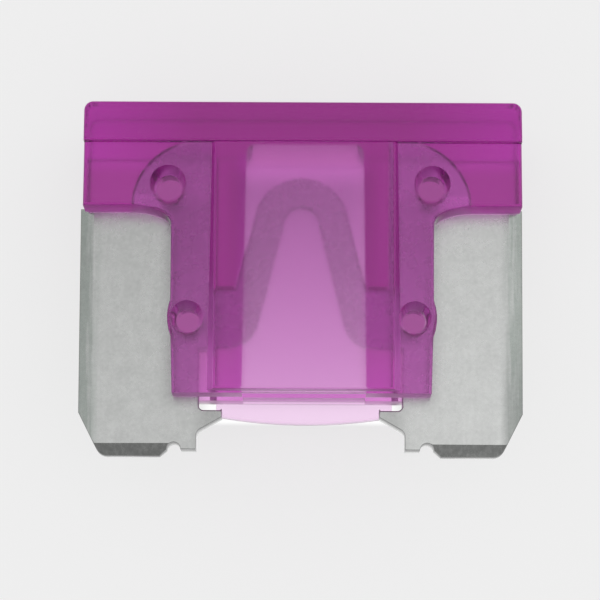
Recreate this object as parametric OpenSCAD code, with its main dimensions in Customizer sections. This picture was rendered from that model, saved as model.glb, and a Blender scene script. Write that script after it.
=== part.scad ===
// Low-profile automotive blade fuse, lying on its back.
// X runs across the two blades, +Y points to the cap end and +Z is the front face.
// The origin is the middle of the box that the part fills, on the surface it lies on.
// Two pieces: a moulded plastic housing, and a stamped metal element staked inside it.

/* [Overall] */
// Width over the outer edges of the two blades
blade_span = 10.9; // [10.5:0.05:11.4]
// Height from the blade tips to the top of the cap
overall_h = 8.51; // [8.3:0.01:8.9]
// Thickness of the cap, front to back
cap_t = 3.81; // [3.6:0.05:4.2]

/* [Cap and wings] */
// Distance that the cap's top stands in from the blades' outer edges
cap_inset = 0.13; // [0.05:0.01:0.3]
// Spread of each end from the cap's top down to the lower edge of its wing
end_draft = 0.03; // [0.01:0.01:0.1]
// Height of the cap
cap_h = 0.965; // [0.8:0.005:1.1]
// Corner radius of the cap, seen from the front
cap_r = 0.22; // [0.1:0.02:0.4]
// Height of the wings below the cap
wing_h = 1.54; // [1.4:0.02:1.7]
// Thickness of the wings where they meet the cap
wing_t = 3.25; // [3.1:0.05:3.35]
// Thickness of the skirts at their lower end
skirt_t = 2.8; // [2.5:0.05:3]
// Reach of the rounded corner where a wing runs into its skirt
corner_run = 1.03; // [0.6:0.05:1.1]
// Drop of that rounded corner
corner_drop = 0.44; // [0.2:0.02:0.6]

/* [Skirts and block] */
// Reach of each skirt over the inner edge of its blade
clasp = 0.7; // [0.6:0.01:0.8]
// Height of the skirts below the cap
skirt_h = 6.1; // [5.9:0.02:6.3]
// Distance that a skirt draws in from its lower stake down to its end
skirt_draw = 0.05; // [0.01:0.01:0.1]
// Distance of the block's faces from the inner edge of each blade
block_inset = 0.3; // [0.2:0.01:0.4]
// Thickness of the middle block, front to back
block_t = 3.58; // [3.4:0.02:3.7]
// Height of the middle block below the cap
block_h = 6.05; // [5.8:0.02:6.2]
// Sideways spread of the block from its face to the skirt
block_draft = 0.15; // [0.05:0.01:0.3]
// Sideways offset of the cap, wings and skirts from the middle of the element
body_shift = 0.03; // [-0.05:0.005:0.05]
// Sideways offset of the block and its chamber from the middle of the element
block_shift = 0.085; // [-0.1:0.005:0.1]

/* [Chamber] */
// Side wall of the chamber
side_wall = 0.69; // [0.6:0.01:0.8]
// Taper of each side of the chamber from its open end to its roof
side_draft = 0.07; // [0.02:0.01:0.12]
// Front and back wall of the chamber at its open end
wall_low = 0.54; // [0.45:0.01:0.65]
// Front and back wall of the chamber at its roof
wall_top = 0.92; // [0.8:0.01:1.2]
// Height of the roof of the chamber above the lower edge of the cap
roof_rise = 0.04; // [0:0.01:0.2]
// Corner radius of the chamber's roof, seen from the front
roof_r = 0.2; // [0.1:0.01:0.4]
// Height of the sill that crosses the back wall inside the chamber's open end
sill_h = 0.2; // [0.1:0.01:0.3]
// Length of the lip below the block, at its two ends
lip_h = 0.35; // [0.2:0.01:0.5]
// Further sag of the lip in its middle
lip_sag = 0.19; // [0.1:0.01:0.3]

/* [Element] */
// Thickness of the blades
blade_t = 0.81; // [0.7:0.01:0.9]
// Width of each blade
blade_w = 2.95; // [2.8:0.01:3]
// Thickness of the link between the blades
link_t = 0.3; // [0.15:0.01:0.5]
// Height of the chamfer on the outer corner of a blade
chamfer_h = 1.06; // [0.8:0.02:1.2]
// Width of that chamfer
chamfer_w = 0.54; // [0.4:0.01:0.7]
// Width of the rolled outer edge of a blade
edge_w = 0.33; // [0.1:0.01:0.4]
// Depth of the rolled outer edge
edge_d = 0.1; // [0.05:0.01:0.2]
// Height of the coined bevel at a blade tip
bevel_h = 0.3; // [0.2:0.01:0.4]
// Depth of the coined bevel
bevel_d = 0.22; // [0.1:0.01:0.3]
// Radius of the notch in a blade tip
notch_r = 0.17; // [0.1:0.01:0.25]
// Distance of the notch from the inner edge of the blade
notch_in = 0.6; // [0.5:0.01:0.7]
// Widening of the notch towards the tip, on its outer side
notch_flare = 0.2; // [0.1:0.01:0.3]
// Height of the step between the notch and the inner edge
step_h = 0.16; // [0.05:0.01:0.2]
// Reach of the sheared spur on the inner edge of a blade
spur_l = 0.57; // [0.4:0.01:0.7]
// Height of the spur's upper edge above the blade tip
spur_rise = 1.12; // [1:0.01:1.2]
// Height of the spur where it joins the blade
spur_h = 0.52; // [0.3:0.01:0.6]
// Height of the spur's torn end
spur_end = 0.16; // [0.05:0.01:0.2]
// Distance that the tip's inner corner stands back from the blade's inner edge
tip_back = 0.06; // [0.02:0.01:0.15]

/* [Neck and link] */
// Width of the shoulder between a neck and the outer edge of its blade
shoulder_w = 1.3; // [1.2:0.01:1.4]
// Depth to which a blade's shoulder enters its wing
shoulder_in = 0.1; // [0.05:0.01:0.2]
// Reach of a neck beyond the inner edge of its blade
neck_reach = 0.33; // [0.3:0.01:0.4]
// Height of a neck above the lower edge of its wing
neck_h = 1.71; // [1.6:0.01:1.8]
// Level length at the top of a neck, before its round corner
neck_flat = 0.33; // [0.2:0.01:0.8]
// Radius of the inside of the link's bow
bow_r = 0.43; // [0.35:0.01:0.55]
// Width of the link
link_w = 0.72; // [0.5:0.01:0.8]
// Height of the top of the link above the lower edge of the wings
bow_rise = 0.9; // [0.7:0.01:1.2]
// Angle of each leg of the link from the vertical
leg_splay = 14; // [10:0.5:15]
// Height of the web between a blade and its leg
web_h = 1.45; // [1.3:0.01:1.7]
// Depth of the web's lower edge below the wings
web_drop = 3.38; // [3.2:0.01:3.5]
// Radius where a leg turns into the web
leg_r = 0.9; // [0.6:0.01:1]

/* [Stakes] */
// Distance of the left upper stake from the outer edge of its neck
stake_left = 0.9; // [0.8:0.01:1]
// Distance of the right upper stake from the outer edge of its neck
stake_right = 0.96; // [0.8:0.01:1]
// Height of the upper stakes above the lower edge of the wings
stake_top_rise = 0.55; // [0.5:0.01:0.6]
// Distance of the lower stakes from the inner edges of the blades
stake_in = 0.27; // [0.2:0.01:0.35]
// Depth of the lower stakes below the lower edge of the wings
stake_low_drop = 2.72; // [2.6:0.01:2.8]
// Depth of the stakes below the front face
stake_depth = 0.8; // [0.5:0.01:0.85]
// Radius of an upper stake at its bottom
stake_r = 0.32; // [0.25:0.01:0.35]
// Widening of a stake towards the face
stake_flare = 0.12; // [0.05:0.01:0.15]
// Radius of a lower stake at its bottom
stake_low_r = 0.28; // [0.22:0.01:0.3]
// Sideways bulge of the skirt beside a lower stake
bulge = 0.08; // [0.04:0.01:0.12]

/* [Hidden] */
$fn = 64;

// Clearance between the metal and the plastic
gap = 0.04;
// Rounding at the corner of a blade tip, and above and below the root of the spur
tip_r = 0.28;
spur_r = 0.13;
foot_r = 0.2;
// Burr that the tear left on the end of the spur
burr = 0.04;
// Overlap that fuses neighbouring solids of one piece
fuse = 0.02;
// Length that takes a cut clear of the part
beyond = overall_h;

mid_z = cap_t / 2;
top_y = overall_h / 2;
tip_y = -overall_h / 2;
cap_y = top_y - cap_h;
wing_y = cap_y - wing_h;
skirt_y = cap_y - skirt_h;
block_y = cap_y - block_h;
roof_y = cap_y + roof_rise;

blade_out = blade_span / 2;
blade_in = blade_out - blade_w;
neck_out = blade_out - shoulder_w;
neck_in = blade_in - neck_reach;
neck_r = neck_out - neck_in - neck_flat;
skirt_w = 2 * (blade_in + clasp);
block_w = 2 * (blade_in - block_inset);
chamber_w = block_w - 2 * side_wall;
roof_w = chamber_w - 2 * side_draft;
stake_low_y = wing_y - stake_low_drop;
shoulder_y = wing_y + shoulder_in;
neck_y = wing_y + neck_h;
step_y = tip_y + step_h;
spur_y = tip_y + spur_rise;
slot_t = blade_t + 2 * gap;
lip_t = (block_t - skirt_t) / 2;
pin_r = stake_r + fuse;
low_pin_r = stake_low_r + fuse;

// The bow of the link is a half ring, and each leg leaves it at a tangent
bow_y = wing_y + bow_rise - bow_r - link_w;
ring_r = bow_r + link_w;
web_y = wing_y - web_drop;
web_top = web_y + web_h;
// The end of a leg's straight inner edge, where it turns into the web
leg_turn = leg_point(bow_r, leg_run(bow_r, web_y + leg_r * (1 - sin(leg_splay))));

// Length of the leg's edge that lies r from the middle of the bow, down to height y
function leg_run(r, y) = (bow_y + r * sin(leg_splay) - y) / cos(leg_splay);

// A point of that edge, run along the leg
function leg_point(r, run) = [
    r * cos(leg_splay) + run * sin(leg_splay),
    bow_y + r * sin(leg_splay) - run * cos(leg_splay)
];

// Points of an arc from angle a to angle b
function arc(centre, rx, ry, a, b, steps = 12) = [
    for (i = [0 : steps])
        let (t = a + (b - a) * i / steps)
            centre + [rx * cos(t), ry * sin(t)]
];

module both_sides() {
    children();
    mirror([1, 0, 0]) children();
}

// A flat outline made into a plate that is centred front to back
module plate(t) {
    translate([0, 0, mid_z - t / 2]) linear_extrude(t) children();
}

// The four stakes: place, radius at the bottom and radius of the pin
STAKES = [
    [[stake_left - neck_out, wing_y + stake_top_rise], stake_r, pin_r],
    [[neck_out - stake_right, wing_y + stake_top_rise], stake_r, pin_r],
    [[-blade_in - stake_in, stake_low_y], stake_low_r, low_pin_r],
    [[blade_in + stake_in, stake_low_y], stake_low_r, low_pin_r]
];

// Half-width of the cap and wings at height y
function end_x(y) = blade_out - cap_inset + end_draft * (top_y - y) / (top_y - wing_y);

module cap_outline() {
    r = cap_r;
    corner_y = top_y - r;
    corner_x = end_x(corner_y) - r;
    polygon(concat(
        [[-end_x(cap_y), cap_y], [end_x(cap_y), cap_y]],
        arc([corner_x, corner_y], r, r, 0, 90),
        arc([-corner_x, corner_y], r, r, 90, 180)
    ));
}

// Half of the wings and skirts, with the drooping corner between the two
module side_outline() {
    skirt_x = skirt_w / 2;
    overlap_y = cap_y + fuse;
    polygon(concat(
        [[0, overlap_y], [0, skirt_y], [skirt_x - skirt_draw, skirt_y], [skirt_x, stake_low_y]],
        arc([skirt_x + corner_run, wing_y - corner_drop], corner_run, corner_drop, 180, 90),
        [[end_x(wing_y), wing_y], [end_x(overlap_y), overlap_y]]
    ));
    // The plastic that the stake pushed out of the skirt's edge
    bulge_r = 2 * (stake_r + stake_low_r);
    translate([skirt_x + bulge - bulge_r, stake_low_y]) circle(bulge_r);
}

// The wings and skirts grow thinner from the cap down, as the mould's draft leaves them
module side_taper() {
    top = wing_t / 2;
    low = skirt_t / 2;
    translate([-blade_out, 0, mid_z]) rotate([0, 90, 0]) linear_extrude(blade_span) polygon([
        [-top, cap_y + fuse], [-low, skirt_y], [low, skirt_y], [top, cap_y + fuse]
    ]);
}

// Half-thickness of the wings and skirts at height y
function side_z(y) = (skirt_t + (wing_t - skirt_t) * (y - skirt_y) / (cap_y - skirt_y)) / 2;

// The middle block spreads from its two faces down to the skirts
module middle_block() {
    top = block_t / 2;
    low = skirt_t / 2;
    face = block_w / 2;
    root = face + block_draft;
    translate([block_shift, cap_y + fuse, mid_z]) rotate([90, 0, 0])
        linear_extrude(block_h + fuse) polygon([
            [-face, -top], [face, -top], [root, -low], [root, low],
            [face, top], [-face, top], [-root, low], [-root, -low]
        ]);
}

// The lip continues the back wall below the block and ends in a shallow bow
module lip() {
    half = block_w / 2;
    lip_r = (half * half + lip_sag * lip_sag) / (2 * lip_sag);
    swing = asin(half / lip_r);
    end_y = block_y - lip_h;
    translate([block_shift, 0, mid_z - block_t / 2]) linear_extrude(lip_t) polygon(concat(
        [[half, block_y + lip_t], [-half, block_y + lip_t]],
        arc([0, end_y - lip_sag + lip_r], lip_r, lip_r, 270 - swing, 270 + swing, 24)
    ));
}

// The room for the element: open below, close round its legs, necks and shoulders
module slot_outline() {
    inner_x = neck_in - gap;
    outer_x = neck_out + gap;
    leg_r_out = ring_r + gap;
    leg_top = leg_point(leg_r_out, 0);
    both_sides() {
        polygon([
            [0, tip_y - beyond], [neck_in, tip_y - beyond], [neck_in, web_top + gap],
            leg_point(leg_r_out, leg_run(leg_r_out, web_top + gap)), leg_top, [0, leg_top[1]]
        ]);
        translate([inner_x, tip_y]) square([beyond, shoulder_y + gap - tip_y]);
        polygon(concat(
            [[inner_x, tip_y], [outer_x, tip_y]],
            arc([outer_x - neck_r - gap, neck_y - neck_r], neck_r + gap, neck_r + gap, 0, 90, 16),
            [[inner_x, neck_y + gap]]
        ));
    }
}

// The chamber narrows from its open end to its roof, whose corners are rounded
module chamber() {
    low = block_t / 2 - wall_low;
    top = block_t / 2 - wall_top;
    half = chamber_w / 2;
    corner = [roof_w / 2 - roof_r, roof_y - roof_r];
    intersection() {
        translate([block_shift - half, 0, mid_z]) rotate([0, 90, 0])
            linear_extrude(chamber_w) polygon([
                [-low, skirt_y - beyond], [-low, block_y], [-top, roof_y],
                [top, roof_y], [low, block_y], [low, skirt_y - beyond]
            ]);
        translate([block_shift, 0]) plate(block_t) polygon(concat(
            [[-half, block_y + sill_h], [-half, skirt_y - beyond],
             [half, skirt_y - beyond], [half, block_y + sill_h]],
            arc(corner, roof_r, roof_r, 0, 90, 8),
            arc([-corner[0], corner[1]], roof_r, roof_r, 90, 180, 8)
        ));
    }
}

// A low sill that stops short of the link, so that the element can pass it
module sill() {
    back_z = mid_z - block_t / 2;
    crest_z = mid_z - link_t / 2 - gap;
    translate([block_shift - chamber_w / 2, block_y, back_z + wall_low / 2])
        cube([chamber_w, sill_h, crest_z - back_z - wall_low / 2]);
}

// The conical dimple that a stake leaves in the front
module dimple(stake) {
    translate([stake[0][0], stake[0][1], mid_z + side_z(stake[0][1]) - stake_depth])
        cylinder(h = 2 * stake_depth, r1 = stake[1], r2 = stake[1] + 2 * stake_flare);
}

module housing() {
    color([0.62, 0.27, 0.58]) {
        difference() {
            union() {
                translate([body_shift, 0]) plate(cap_t) cap_outline();
                intersection() {
                    translate([body_shift, 0]) plate(wing_t) both_sides() side_outline();
                    side_taper();
                }
                middle_block();
                lip();
            }
            plate(slot_t) slot_outline();
            chamber();
            for (stake = STAKES) dimple(stake);
        }
        sill();
        // Plastic that the stakes pressed through the holes of the element
        for (stake = STAKES)
            translate([stake[0][0], stake[0][1], mid_z - slot_t / 2 - fuse])
                cylinder(h = slot_t + 2 * fuse, r = stake[2]);
    }
}

// A blade with its chamfer, notch and step, and the spur left by the tie bar
module blade_outline() {
    chamfer_angle = atan(chamfer_w / chamfer_h);
    corner_x = blade_out - chamfer_w - tip_r * tan(45 - chamfer_angle / 2);
    notch_x = blade_in + notch_in;
    tip_x = blade_in + tip_back;
    difference() {
        polygon(concat(
            [[blade_in, shoulder_y], [blade_out, shoulder_y], [blade_out, tip_y + chamfer_h]],
            arc([corner_x, tip_y + tip_r], tip_r, tip_r, -chamfer_angle, -90, 8),
            [[notch_x, tip_y], [notch_x, step_y], [tip_x, step_y],
             [tip_x, spur_y], [blade_in, spur_y]]
        ));
        translate([notch_x, step_y]) circle(notch_r);
        translate([notch_x, step_y]) polygon([
            [-notch_r, 0], [notch_r, 0], [notch_r + notch_flare, -step_h - fuse],
            [-notch_r, -step_h - fuse]
        ]);
    }
    // The spur narrows towards its torn end, with a fillet above and below its root
    slope = atan((spur_h - spur_end) / (spur_l + tip_back));
    polygon(concat(
        [[tip_x, spur_y + spur_r]],
        arc([blade_in - spur_r, spur_y + spur_r], spur_r, spur_r, 0, -90, 6),
        [[blade_in - spur_l + burr, spur_y], [blade_in - spur_l, spur_y + burr],
         [blade_in - spur_l, spur_y - spur_end]],
        arc([tip_x - foot_r, spur_y - spur_h - foot_r * tan(45 - slope / 2)],
            foot_r, foot_r, 90 - slope, 0, 6)
    ));
}

module neck_outline() {
    polygon(concat(
        [[neck_in, web_y], [neck_out, web_y], [neck_out, neck_y - neck_r]],
        arc([neck_out - neck_r, neck_y - neck_r], neck_r, neck_r, 0, 90, 16),
        [[neck_in, neck_y]]
    ));
}

// Half of the link with the web that carries it
module leg_outline() {
    polygon(concat(
        [leg_point(ring_r, 0), leg_point(ring_r, leg_run(ring_r, web_top))],
        [[neck_in + fuse, web_top], [neck_in + fuse, web_y]],
        [for (p = arc([leg_turn[0] + leg_r * cos(leg_splay), web_y + leg_r], leg_r, leg_r,
            270, 180 + leg_splay, 10)) if (p[0] < neck_in) p],
        [leg_point(bow_r, 0), [0, bow_y + bow_r], [0, bow_y + ring_r]]
    ));
}

module link_outline() {
    difference() {
        union() {
            translate([0, bow_y]) circle(ring_r);
            both_sides() leg_outline();
        }
        translate([0, bow_y]) circle(bow_r);
        both_sides() polygon([
            [0, bow_y], leg_point(bow_r, 0), leg_turn, [0, leg_turn[1]]
        ]);
    }
}

// The blades' thickness falls off at the outer edges, and at the tips beyond the notches
module blade_edges() {
    half = blade_t / 2;
    inset = blade_out - edge_w;
    rise = tip_y + bevel_h;
    flat_x = blade_in + notch_in;
    intersection() {
        translate([0, top_y, mid_z]) rotate([90, 0, 0]) linear_extrude(overall_h) polygon([
            [-inset, -half], [inset, -half], [blade_out, edge_d - half], [blade_out, half - edge_d],
            [inset, half], [-inset, half], [-blade_out, half - edge_d], [-blade_out, edge_d - half]
        ]);
        union() {
            translate([-blade_out, 0, mid_z]) rotate([0, 90, 0]) linear_extrude(blade_span) polygon([
                [-half, top_y], [-half, rise], [bevel_d - half, tip_y], [half - bevel_d, tip_y],
                [half, rise], [half, top_y]
            ]);
            translate([-flat_x, tip_y, mid_z - half]) cube([2 * flat_x, bevel_h + fuse, blade_t]);
        }
    }
}

module fuse_element() {
    color([0.72, 0.73, 0.72]) difference() {
        union() {
            intersection() {
                plate(blade_t) both_sides() {
                    blade_outline();
                    neck_outline();
                }
                blade_edges();
            }
            plate(link_t) link_outline();
        }
        for (stake = STAKES)
            translate([stake[0][0], stake[0][1], 0])
                cylinder(h = cap_t, r = stake[2] + gap);
    }
}

housing();
fuse_element();
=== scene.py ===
# A low-profile automotive blade fuse that lies on its back, seen from above its front face.
# A stamped zinc element is staked inside one clear violet moulding.
import math

import bmesh
import bpy
from mathutils import Matrix, Vector


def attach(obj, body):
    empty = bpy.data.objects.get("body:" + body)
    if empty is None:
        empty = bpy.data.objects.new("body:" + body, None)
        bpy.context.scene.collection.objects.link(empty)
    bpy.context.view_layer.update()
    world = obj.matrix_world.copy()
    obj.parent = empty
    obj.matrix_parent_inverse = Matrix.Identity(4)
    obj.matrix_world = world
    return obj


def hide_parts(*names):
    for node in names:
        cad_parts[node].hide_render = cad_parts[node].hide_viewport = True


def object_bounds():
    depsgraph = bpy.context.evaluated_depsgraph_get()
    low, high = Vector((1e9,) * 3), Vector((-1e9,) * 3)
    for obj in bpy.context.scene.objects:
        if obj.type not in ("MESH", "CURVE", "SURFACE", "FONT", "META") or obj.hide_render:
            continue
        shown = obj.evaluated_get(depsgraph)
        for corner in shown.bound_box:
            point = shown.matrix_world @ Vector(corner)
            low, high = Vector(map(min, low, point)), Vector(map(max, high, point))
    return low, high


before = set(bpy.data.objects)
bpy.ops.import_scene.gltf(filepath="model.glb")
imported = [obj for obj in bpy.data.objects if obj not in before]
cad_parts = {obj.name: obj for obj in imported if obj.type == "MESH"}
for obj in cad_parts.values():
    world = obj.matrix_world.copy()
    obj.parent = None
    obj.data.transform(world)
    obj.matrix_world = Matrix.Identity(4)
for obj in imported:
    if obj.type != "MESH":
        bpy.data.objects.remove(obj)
cad_low, cad_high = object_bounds()


# Camera
# It hangs over the fuse and leans a little towards the blades, so that the
# undersides of the wings and the open end of the block just show.
CAMERA_DISTANCE = 0.080
CAMERA_ELEVATION = math.radians(82.0)
CAMERA_SWING = math.radians(0.18)
CAMERA_ROLL = math.radians(0.31)
FOCAL_LENGTH = 194.1
SENSOR_WIDTH = 36.0
NEAREST_SEEN = 0.001
FARTHEST_SEEN = 10.0
AIM_OFFSET = Vector((-0.000025, -0.00035, 0.0))

fuse_middle = (cad_low + cad_high) / 2
towards_camera = Vector((
    math.sin(CAMERA_SWING) * math.sin(CAMERA_ELEVATION),
    -math.cos(CAMERA_ELEVATION),
    math.cos(CAMERA_SWING) * math.sin(CAMERA_ELEVATION),
))
camera_place = fuse_middle + CAMERA_DISTANCE * towards_camera
forward = (fuse_middle + AIM_OFFSET - camera_place).normalized()
right = forward.cross(Vector((0, 1, 0))).normalized()
up = right.cross(forward)
turn = Matrix((right, up, -forward)).transposed() @ Matrix.Rotation(CAMERA_ROLL, 3, "Z")

camera_data = bpy.data.cameras.new("camera")
camera_data.lens = FOCAL_LENGTH
camera_data.sensor_width = SENSOR_WIDTH
camera_data.clip_start = NEAREST_SEEN
camera_data.clip_end = FARTHEST_SEEN
camera = bpy.data.objects.new("camera", camera_data)
camera.matrix_world = Matrix.Translation(camera_place) @ turn.to_4x4()
bpy.context.scene.collection.objects.link(camera)
bpy.context.scene.camera = camera


# Housing
# One injection moulding of clear violet plastic: cap, wings, skirts, hollow block
# and lip. Its outer edges are rounded, and the faces at its open end are left matt.
MIDDLE_Z = (cad_low.z + cad_high.z) / 2
OPEN_END = -0.00278
OPEN_END_REACH = 0.0001
ROUNDING_STEPS = 3
MERGE_DISTANCE = 1e-7

# The share of a face's normal that points along Z: at most this on a wall that stands
# upright or slants, and at least this on a broad face
UPRIGHT = 0.1
SLANTED = 0.5
BROAD = 0.7

# Two neighbouring faces meet at less than this where they lie flat or follow a curve,
# and at more than this along a sharp edge
FLAT = math.radians(1)
CURVED = math.radians(16)
SHARP = math.radians(35)

# Bands of outer edges: from and to which distance from the middle, wall, and radius
CAP_EDGES = (0.00188, 0.00192, SLANTED, 0.00005)
BLOCK_EDGES = (0.00178, 0.00180, SLANTED, 0.00006)
SKIRT_EDGES = (0.00138, 0.00165, UPRIGHT, 0.00007)

PLASTIC_IOR = 1.5
PLASTIC_TINT = (0.77, 0.09, 0.726)
PLASTIC_DENSITY = 1100.0
SATIN_ROUGHNESS = 0.22
CHAMBER_ROUGHNESS = 0.12
MATT_ROUGHNESS = 0.55
SATIN_UNEVENNESS = 0.08
WAVE_SIZE = 0.0008
WAVE_DEPTH = 0.000002
WAVE_DETAIL = 1
SPECKLE_DETAIL = 4
SPECKLE_HARSHNESS = 0.6

# Each pair of limits runs from where a finish is absent to where it is full
BROAD_FACES = (0.5, 0.9)
LEANING_FACES = (0.10, 0.25)
LEANING_END = (0.9, 0.6)
OUTER_FACES = (0.0013, 0.00135)
OPEN_END_FACES = (-0.6, -0.9)
BELOW_CAP = (0.0030, 0.0028)


def dressed_copy(node, name, bands):
    """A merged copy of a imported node, with the outer edges in each band rounded."""
    mesh = node.data.copy()
    shape = bmesh.new()
    shape.from_mesh(mesh)
    bmesh.ops.remove_doubles(shape, verts=shape.verts, dist=MERGE_DISTANCE)
    bmesh.ops.dissolve_limit(
        shape, angle_limit=FLAT, verts=shape.verts, edges=shape.edges)
    for face in shape.faces:
        face.smooth = any(FLAT < edge.calc_face_angle(0) < CURVED for edge in face.edges)
    for shallow, deep, wall, radius in bands:
        chosen = []
        for edge in shape.edges:
            middle = (edge.verts[0].co + edge.verts[1].co) / 2
            if not shallow < abs(middle.z - MIDDLE_Z) < deep or not edge.is_convex:
                continue
            if wall == UPRIGHT and abs(middle.y - OPEN_END) < OPEN_END_REACH:
                continue
            tilts = sorted(abs(face.normal.z) for face in edge.link_faces)
            if edge.calc_face_angle() > SHARP and tilts[0] < wall and tilts[1] > BROAD:
                chosen.append(edge)
        rounded = bmesh.ops.bevel(
            shape, geom=chosen, offset=radius, segments=ROUNDING_STEPS,
            offset_type="OFFSET", profile=0.5, affect="EDGES")
        for face in rounded["faces"]:
            face.smooth = True
    bmesh.ops.remove_doubles(shape, verts=shape.verts, dist=MERGE_DISTANCE)
    for edge in shape.edges:
        edge.smooth = edge.calc_face_angle(0) < SHARP
    shape.to_mesh(mesh)
    shape.free()
    mesh.materials.clear()
    piece = bpy.data.objects.new(name, mesh)
    bpy.context.scene.collection.objects.link(piece)
    return piece


def calculated(tree, operation, first, second=0.0):
    """A Math node on sockets or values."""
    node = tree.nodes.new("ShaderNodeMath")
    node.operation = operation
    for socket, value in ((node.inputs[0], first), (node.inputs[1], second)):
        if isinstance(value, (int, float)):
            socket.default_value = value
        else:
            tree.links.new(value, socket)
    return node.outputs[0]


def product(tree, *factors):
    """Sockets or values multiplied with each other, such as masks that all have to hold."""
    result = factors[0]
    for factor in factors[1:]:
        result = calculated(tree, "MULTIPLY", result, factor)
    return result


def strongest(tree, *masks):
    """The highest of several sockets."""
    result = masks[0]
    for mask in masks[1:]:
        result = calculated(tree, "MAXIMUM", result, mask)
    return result


def ranged(tree, value, low, high, to_low=0.0, to_high=1.0):
    """A socket's value, carried from one range to another and held inside it."""
    node = tree.nodes.new("ShaderNodeMapRange")
    node.inputs["From Min"].default_value = low
    node.inputs["From Max"].default_value = high
    node.inputs["To Min"].default_value = to_low
    node.inputs["To Max"].default_value = to_high
    tree.links.new(value, node.inputs["Value"])
    return node.outputs[0]


def split(tree, vector):
    """The X, Y and Z sockets of a vector's socket."""
    node = tree.nodes.new("ShaderNodeSeparateXYZ")
    tree.links.new(vector, node.inputs[0])
    return node.outputs


def speckle_group():
    """Fine grain: a noise that is centred on zero and made as strong as asked."""
    group = bpy.data.node_groups.new("speckle", "ShaderNodeTree")
    group.interface.new_socket("Vector", in_out="INPUT", socket_type="NodeSocketVector")
    group.interface.new_socket("Scale", in_out="INPUT", socket_type="NodeSocketFloat")
    group.interface.new_socket("Amount", in_out="INPUT", socket_type="NodeSocketFloat")
    group.interface.new_socket("Value", in_out="OUTPUT", socket_type="NodeSocketFloat")
    way_in = group.nodes.new("NodeGroupInput")
    way_out = group.nodes.new("NodeGroupOutput")
    noise = group.nodes.new("ShaderNodeTexNoise")
    noise.inputs["Detail"].default_value = SPECKLE_DETAIL
    noise.inputs["Roughness"].default_value = SPECKLE_HARSHNESS
    group.links.new(way_in.outputs["Vector"], noise.inputs["Vector"])
    group.links.new(way_in.outputs["Scale"], noise.inputs["Scale"])
    centred = calculated(group, "SUBTRACT", noise.outputs["Fac"], 0.5)
    group.links.new(product(group, centred, way_in.outputs["Amount"]), way_out.inputs["Value"])
    return group


speckle = speckle_group()


def speckled(tree, place, size, amount):
    """The speckle group placed in a material, with the size and strength of its grain."""
    node = tree.nodes.new("ShaderNodeGroup")
    node.node_tree = speckle
    node.inputs["Scale"].default_value = 1 / size
    node.inputs["Amount"].default_value = amount
    tree.links.new(place, node.inputs["Vector"])
    return node.outputs["Value"]


plastic = bpy.data.materials.new("violet_plastic")
plastic.use_nodes = True
tree = plastic.node_tree
surface = tree.nodes["Principled BSDF"]
surface.inputs["Base Color"].default_value = (1, 1, 1, 1)
surface.inputs["IOR"].default_value = PLASTIC_IOR
surface.inputs["Transmission Weight"].default_value = 1.0
absorption = tree.nodes.new("ShaderNodeVolumeAbsorption")
absorption.inputs["Color"].default_value = (*PLASTIC_TINT, 1)
absorption.inputs["Density"].default_value = PLASTIC_DENSITY
tree.links.new(absorption.outputs["Volume"], tree.nodes["Material Output"].inputs["Volume"])

# Broad faces are satin, smoother inside the chamber, and upright walls are clear.
# Faces that lean are matt, and so are those that look along -Y below the cap.
place = tree.nodes.new("ShaderNodeTexCoord").outputs
where = split(tree, place["Object"])
facing = split(tree, place["Normal"])
depth = calculated(tree, "ABSOLUTE", calculated(tree, "SUBTRACT", where["Z"], MIDDLE_Z))
broad = calculated(tree, "ABSOLUTE", facing["Z"])
flat = ranged(tree, broad, *BROAD_FACES)
polish = ranged(tree, ranged(tree, depth, *OUTER_FACES),
                0.0, 1.0, CHAMBER_ROUGHNESS, SATIN_ROUGHNESS)
uneven = speckled(tree, place["Object"], WAVE_SIZE, SATIN_UNEVENNESS)
satin = product(tree, flat, calculated(tree, "ADD", polish, uneven))
leaning = product(tree, ranged(tree, broad, *LEANING_FACES),
                  ranged(tree, broad, *LEANING_END, 0.0, MATT_ROUGHNESS))
matt = product(tree, ranged(tree, facing["Y"], *OPEN_END_FACES, 0.0, MATT_ROUGHNESS),
               ranged(tree, where["Y"], *BELOW_CAP))
tree.links.new(strongest(tree, satin, leaning, matt), surface.inputs["Roughness"])

# The broad faces are a little wavy too
wave = tree.nodes.new("ShaderNodeTexNoise")
wave.inputs["Scale"].default_value = 1 / WAVE_SIZE
wave.inputs["Detail"].default_value = WAVE_DETAIL
tree.links.new(place["Object"], wave.inputs["Vector"])
bump = tree.nodes.new("ShaderNodeBump")
bump.inputs["Distance"].default_value = WAVE_DEPTH
tree.links.new(product(tree, wave.outputs["Fac"], flat), bump.inputs["Height"])
tree.links.new(bump.outputs[0], surface.inputs["Normal"])

housing = dressed_copy(
    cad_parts["housing"], "violet_housing", (CAP_EDGES, BLOCK_EDGES, SKIRT_EDGES))
housing.data.materials.append(plastic)
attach(housing, "root")
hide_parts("housing")


# Fuse element
# One stamping of dull zinc alloy: two blades, their necks and the thin bowed link.
# Its outer edges are rolled and stained, and its sheared sides are dark near the front.
STAMPED_EDGES = (-1.0, 0.00042, UPRIGHT, 0.000025)
METAL_COLOUR = (0.63, 0.64, 0.63)
STAIN_COLOUR = (0.43, 0.465, 0.44)
SHEAR_COLOUR = (0.22, 0.22, 0.22)
# The tips' colour is a painted dark reflection
TIP_REFLECTION_COLOUR = (0.32, 0.33, 0.32)
METAL_ROUGHNESS = 0.26
GRAIN_SIZE = 0.0004
GRAIN_AMOUNT = 0.32
FINE_SIZE = 0.00009
FINE_AMOUNT = 0.30
STREAK_SIZE = 0.00012
STREAK_AMOUNT = 1.0
STREAK_STRETCH = (1, 0.06, 1)
STAIN_STRENGTH = 1.3
STAIN_STREAKS = 2.6
TIP_REFLECTION_STRENGTH = 0.9
TIP_STREAKS = 2.0
COVERED_GRAIN = 0.4
TONE_STREAKS = 0.10
STAINED_SHARE = 0.2
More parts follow.
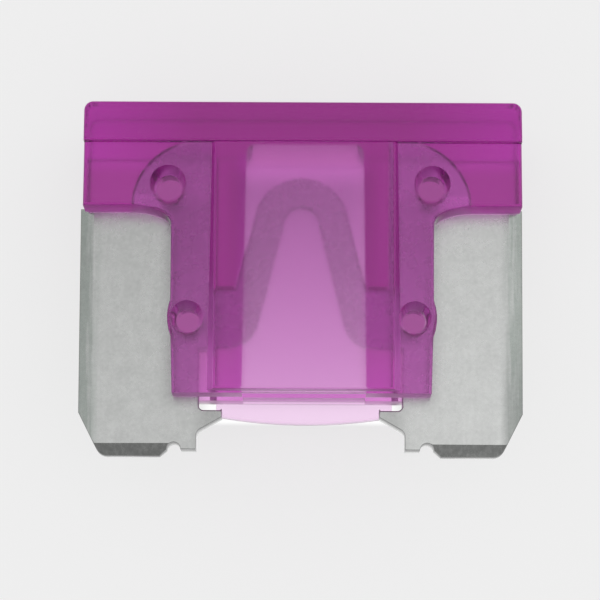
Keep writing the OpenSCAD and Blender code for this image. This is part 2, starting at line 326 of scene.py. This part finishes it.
# The smudge-and-shade mask is painted shade with some stain
SMUDGE_AND_SHADE_GRAIN = 4.0
# Painted light and shade in the metal's tone
RIGHT_PAINTED_LIGHT = 0.18
WEB_PAINTED_LIGHT = 0.10
NECK_PAINTED_LIGHT = 0.14
TIPWARD_PAINTED_LIGHT = 0.12
COVERED_PAINTED_SHADE = 0.25
SMUDGE_AND_SHADE_LOSS = 0.30

# Limits across, along and through the element, from where a mark is absent to where
# it is full
STAIN_ACROSS = (0.00485, 0.00545)
STAIN_START = (0.00485, 0.00515)
TIP_FACES_Y = (-0.4, -0.5)
TIP_FACES_Z = (0.6, 0.7)
SHEARED_FACES = (0.92, 0.60)
SHEARED_FRONT = (MIDDLE_Z - 0.00012, MIDDLE_Z - 0.00002)
BARE_ACROSS = (0.0030, 0.0031)
BARE_BELOW_WINGS = (0.0022, 0.0021)
BARE_BELOW_SKIRTS = (-0.0027, -0.0028)
RIGHT_ACROSS = (-0.002, 0.004)
WEB_ACROSS = (0.0013, 0.0015)
WEB_END = (0.0027, 0.0021)
NECK_ALONG = (0.0018, 0.0022)
NECK_ACROSS = (0.0021, 0.0024)
TIP_ALONG = (0.0010, -0.0030)
COVERED_ALONG = (-0.0027, 0.0010)
COVERED_SHARE = (0.5, 1.0)
SPUR_ACROSS = (0.0027, 0.0023)
SPUR_ALONG = (-0.0029, -0.0030)
EXIT_ACROSS = (0.0035, 0.0030)
EXIT_ALONG = (-0.0031, -0.0028)
RIGHT_EDGE_ACROSS = (0.0049, 0.0051)
RIGHT_EDGE_ALONG = (-0.0010, -0.0030)


def mix_colour(tree, factor, first, second):
    """A mix of two colours, each a value or a socket, by a factor socket. In colour mode
    sockets 6 and 7 of the node are the two colours, and its output 2 is their mix."""
    mix = tree.nodes.new("ShaderNodeMix")
    mix.data_type = "RGBA"
    tree.links.new(factor, mix.inputs["Factor"])
    for socket, colour in ((mix.inputs[6], first), (mix.inputs[7], second)):
        if isinstance(colour, tuple):
            socket.default_value = (*colour, 1)
        else:
            tree.links.new(colour, socket)
    return mix.outputs[2]


metal = bpy.data.materials.new("zinc_alloy")
metal.use_nodes = True
tree = metal.node_tree
surface = tree.nodes["Principled BSDF"]
surface.inputs["Metallic"].default_value = 1.0
place = tree.nodes.new("ShaderNodeTexCoord").outputs
where = split(tree, place["Object"])
facing = split(tree, place["Normal"])
side = calculated(tree, "ABSOLUTE", where["X"])
along = where["Y"]

# Mottled and fine grain, and streaks that run up the blades
grain = speckled(tree, place["Object"], GRAIN_SIZE, GRAIN_AMOUNT)
fine = speckled(tree, place["Object"], FINE_SIZE, FINE_AMOUNT)
stretch = tree.nodes.new("ShaderNodeMapping")
stretch.inputs["Scale"].default_value = STREAK_STRETCH
tree.links.new(place["Object"], stretch.inputs["Vector"])
streak = speckled(tree, stretch.outputs[0], STREAK_SIZE, STREAK_AMOUNT)

# The stain follows the rolled outer edges, broken up by the streaks
stain = calculated(tree, "ADD", ranged(tree, side, *STAIN_ACROSS, 0.0, STAIN_STRENGTH),
                   product(tree, streak, STAIN_STREAKS))
stain = product(tree, stain, ranged(tree, side, *STAIN_START))
colour = mix_colour(tree, stain, METAL_COLOUR, STAIN_COLOUR)

# Painted dark reflection: the bevels at the tips, which lean towards the blades' end, are
# darkened as if they mirrored the dim low light, and streaked
dark_tip_reflection = product(tree, ranged(tree, facing["Y"], *TIP_FACES_Y),
                 ranged(tree, facing["Z"], *TIP_FACES_Z),
                 calculated(tree, "ADD", TIP_REFLECTION_STRENGTH, product(tree, streak, TIP_STREAKS)))
colour = mix_colour(tree, dark_tip_reflection, colour, TIP_REFLECTION_COLOUR)

# The rolled edges and the front half of a sheared side are dark, outside the plastic
sheared = product(tree, ranged(tree, calculated(tree, "ABSOLUTE", facing["Z"]), *SHEARED_FACES),
                  ranged(tree, where["Z"], *SHEARED_FRONT))
bare = strongest(tree, product(tree, ranged(tree, side, *BARE_ACROSS),
                               ranged(tree, along, *BARE_BELOW_WINGS)),
                 ranged(tree, along, *BARE_BELOW_SKIRTS))
colour = mix_colour(tree, product(tree, sheared, bare), colour, SHEAR_COLOUR)

# Painted light: the right blade is brighter than the left, as the light is stronger on the
# right, and so are the webs by the block, the necks and the metal near the tips. Painted shade:
# metal under the plastic is dimmer. It is also less mottled.
right_blade = product(tree, ranged(tree, where["X"], *RIGHT_ACROSS),
                      ranged(tree, side, *STAIN_ACROSS, 1.0, STAINED_SHARE))
web = product(tree, ranged(tree, side, *WEB_ACROSS), ranged(tree, side, *WEB_END))
neck = product(tree, ranged(tree, along, *NECK_ALONG), ranged(tree, side, *NECK_ACROSS))
near_tip = ranged(tree, along, *TIP_ALONG)
shaded_under_plastic = product(tree, calculated(tree, "SUBTRACT", 1.0, bare),
                  ranged(tree, along, *COVERED_ALONG, *COVERED_SHARE))

# Painted shade, with some stain, lies on the spurs and below the skirts' ends, and a stain runs
# down the right blade's outer edge
spur = product(tree, ranged(tree, side, *SPUR_ACROSS), ranged(tree, along, *SPUR_ALONG))
exit_line = product(tree, ranged(tree, side, *EXIT_ACROSS), ranged(tree, along, *EXIT_ALONG),
                    bare)
right_edge = product(tree, ranged(tree, where["X"], *RIGHT_EDGE_ACROSS),
                     ranged(tree, along, *RIGHT_EDGE_ALONG))
smudge_and_shade = product(tree, strongest(tree, spur, exit_line, right_edge),
                 calculated(tree, "ADD", 1.0, product(tree, grain, SMUDGE_AND_SHADE_GRAIN)))

tone = product(tree, ranged(tree, bare, 0.0, 1.0, COVERED_GRAIN, 1.0),
               calculated(tree, "ADD", grain, product(tree, streak, TONE_STREAKS)))
tone = calculated(tree, "ADD", tone, fine)
for mask, gain in ((right_blade, RIGHT_PAINTED_LIGHT), (web, WEB_PAINTED_LIGHT), (neck, NECK_PAINTED_LIGHT),
                   (near_tip, TIPWARD_PAINTED_LIGHT), (shaded_under_plastic, -COVERED_PAINTED_SHADE), (smudge_and_shade, -SMUDGE_AND_SHADE_LOSS)):
    tone = calculated(tree, "ADD", tone, product(tree, mask, gain))
lighter = tree.nodes.new("ShaderNodeVectorMath")
lighter.operation = "SCALE"
tree.links.new(colour, lighter.inputs[0])
tree.links.new(calculated(tree, "ADD", tone, 1.0), lighter.inputs["Scale"])
tree.links.new(lighter.outputs[0], surface.inputs["Base Color"])
tree.links.new(calculated(tree, "ADD", grain, METAL_ROUGHNESS), surface.inputs["Roughness"])

element = dressed_copy(
    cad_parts["fuse_element"], "zinc_element", (STAMPED_EDGES,))
element.data.materials.append(metal)
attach(element, "root")
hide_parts("fuse_element")


# Floor and light
# A pale table under a wide soft light that is a little stronger on the right. Through
# the plastic the table looks white, with painted shade under the block's hollow and the necks.
BACKGROUND = 0.847
FLOOR_SIZE = 1.0
FLOOR_DROP = 0.00001
LIT_SHARE = 0.30
FLOOR_GLOW = 0.99
# Levels of the painted shade on the table under the plastic
HOLLOW_LEVEL = 0.56
NECK_LEVEL = 0.80
THICK_SHADE = (0.76, 0.80, 0.70)
WHITE = (1.0, 1.0, 1.0)
OVERHEAD = 0.70
HORIZON = 0.40
LEFT_LIGHT = 0.9
RIGHT_LIGHT = 1.1

# Limits across and along the table, from where a shade is absent to where it is full
HOLLOW_ACROSS = (0.0020, 0.0013)
HOLLOW_FADE = (-0.0042, 0.0025)
HOLLOW_TOP = (0.0036, 0.0028)
HOLLOW_MOUTH = (-0.0030, -0.0027)
NECKS_INNER = (0.0023, 0.0026)
NECKS_OUTER = (0.0042, 0.0038)
NECKS_TOP = (0.0034, 0.0030)
CAP_ENDS = (0.0053, 0.0026)
CAP_ALONG = (0.0034, 0.0030)
WINDOW_ACROSS = (0.0017, 0.0014)
WINDOW_TOP = (0.0035, 0.0033)
THICK_MOUTH = (-0.0029, -0.0010)
# Where the gap below the block is painted white, as painted light
GAP_ACROSS = (0.0028, 0.0027)
GAP_BOTTOM = (-0.0033, -0.0032)
GAP_TOP = (0.0030, 0.0029)

# Limits on the light's direction
LOW_LIGHT = (0.72, 0.48)
BLADE_END_LIGHT = (-0.35, -0.75)
LEFT_TO_RIGHT = (-0.5, 0.5)


def mix_shaders(tree, factor, first, second):
    """A mix of two shaders, by a share or by a mask's socket."""
    mix = tree.nodes.new("ShaderNodeMixShader")
    if isinstance(factor, float):
        mix.inputs["Fac"].default_value = factor
    else:
        tree.links.new(factor, mix.inputs["Fac"])
    tree.links.new(first, mix.inputs[1])
    tree.links.new(second, mix.inputs[2])
    return mix.outputs[0]


def plain_shader(tree, kind, colour):
    """A shader of one plain colour."""
    node = tree.nodes.new(kind)
    node.inputs["Color"].default_value = (*colour, 1)
    return node.outputs[0]


floor_mesh = bpy.data.meshes.new("floor")
plane = bmesh.new()
bmesh.ops.create_grid(plane, x_segments=1, y_segments=1, size=FLOOR_SIZE / 2)
plane.to_mesh(floor_mesh)
plane.free()
floor_mesh.transform(Matrix.Translation((0, 0, -FLOOR_DROP)))
floor = bpy.data.objects.new("floor", floor_mesh)
bpy.context.scene.collection.objects.link(floor)

paper = bpy.data.materials.new("pale_paper")
paper.use_nodes = True
tree = paper.node_tree
tree.nodes.remove(tree.nodes["Principled BSDF"])
where = split(tree, tree.nodes.new("ShaderNodeTexCoord").outputs["Object"])
side = calculated(tree, "ABSOLUTE", where["X"])
along = where["Y"]

# Painted shade: the table is less bright under the hollow, which fades towards its open
# end, and under the necks
hollow = product(tree, ranged(tree, side, *HOLLOW_ACROSS), ranged(tree, along, *HOLLOW_FADE),
                 ranged(tree, along, *HOLLOW_TOP), ranged(tree, along, *HOLLOW_MOUTH))
necks = product(tree, ranged(tree, side, *NECKS_INNER), ranged(tree, side, *NECKS_OUTER),
                ranged(tree, along, *NECKS_TOP))
level = 1.0
for mask, seen_level in ((hollow, HOLLOW_LEVEL), (necks, NECK_LEVEL)):
    level = calculated(tree, "SUBTRACT", level, product(tree, mask, 1 - seen_level))

# The thick plastic's painted shade lies outside the chamber's window, and fades
# at the ends of the cap and towards the open end
window = product(tree, ranged(tree, side, *WINDOW_ACROSS), ranged(tree, along, *WINDOW_TOP))
thick = product(
    tree, strongest(tree, ranged(tree, side, *CAP_ENDS), ranged(tree, along, *CAP_ALONG)),
    calculated(tree, "SUBTRACT", 1.0, window), ranged(tree, along, *THICK_MOUTH))
white = tree.nodes.new("ShaderNodeEmission")
tree.links.new(mix_colour(tree, thick, WHITE, THICK_SHADE), white.inputs["Color"])
tree.links.new(level, white.inputs["Strength"])

# Seen through the plastic or mirrored in the metal, the table is white. In the gap below the
# block it is painted white as painted light. Elsewhere it is plain grey, and partly lit by the
# light.
open_floor = mix_shaders(
    tree, LIT_SHARE, plain_shader(tree, "ShaderNodeEmission", (FLOOR_GLOW,) * 3),
    plain_shader(tree, "ShaderNodeBsdfDiffuse", (BACKGROUND,) * 3))
gap = product(tree, ranged(tree, side, *GAP_ACROSS), ranged(tree, along, *GAP_BOTTOM),
              ranged(tree, along, *GAP_TOP))
rays = tree.nodes.new("ShaderNodeLightPath").outputs
bright = strongest(tree, gap, rays["Is Transmission Ray"], rays["Is Glossy Ray"])
tree.links.new(mix_shaders(tree, bright, open_floor, white.outputs[0]),
               tree.nodes["Material Output"].inputs["Surface"])
floor_mesh.materials.append(paper)

# The light is dimmer low down at the blades' end. The camera sees the table's grey beyond
# its edge, and light that has passed through the plastic meets plain white.
world = bpy.data.worlds.new("studio")
world.use_nodes = True
bpy.context.scene.world = world
tree = world.node_tree
towards = split(tree, tree.nodes.new("ShaderNodeTexCoord").outputs["Generated"])
dim = product(tree, ranged(tree, towards["Z"], *LOW_LIGHT),
              ranged(tree, towards["Y"], *BLADE_END_LIGHT))
height = ranged(tree, dim, 0.0, 1.0, OVERHEAD, HORIZON)
tilt = ranged(tree, towards["X"], *LEFT_TO_RIGHT, LEFT_LIGHT, RIGHT_LIGHT)
light = tree.nodes["Background"]
light.inputs["Color"].default_value = (*WHITE, 1)
tree.links.new(product(tree, height, tilt), light.inputs["Strength"])
backdrop = plain_shader(tree, "ShaderNodeBackground", (BACKGROUND,) * 3)
clear = plain_shader(tree, "ShaderNodeBackground", WHITE)
rays = tree.nodes.new("ShaderNodeLightPath").outputs
seen = mix_shaders(tree, rays["Is Camera Ray"], light.outputs[0], backdrop)
seen = mix_shaders(tree, rays["Is Transmission Ray"], seen, clear)
tree.links.new(seen, tree.nodes["World Output"].inputs["Surface"])

bpy.context.scene.view_settings.view_transform = "Standard"

bpy.context.view_layer.update()
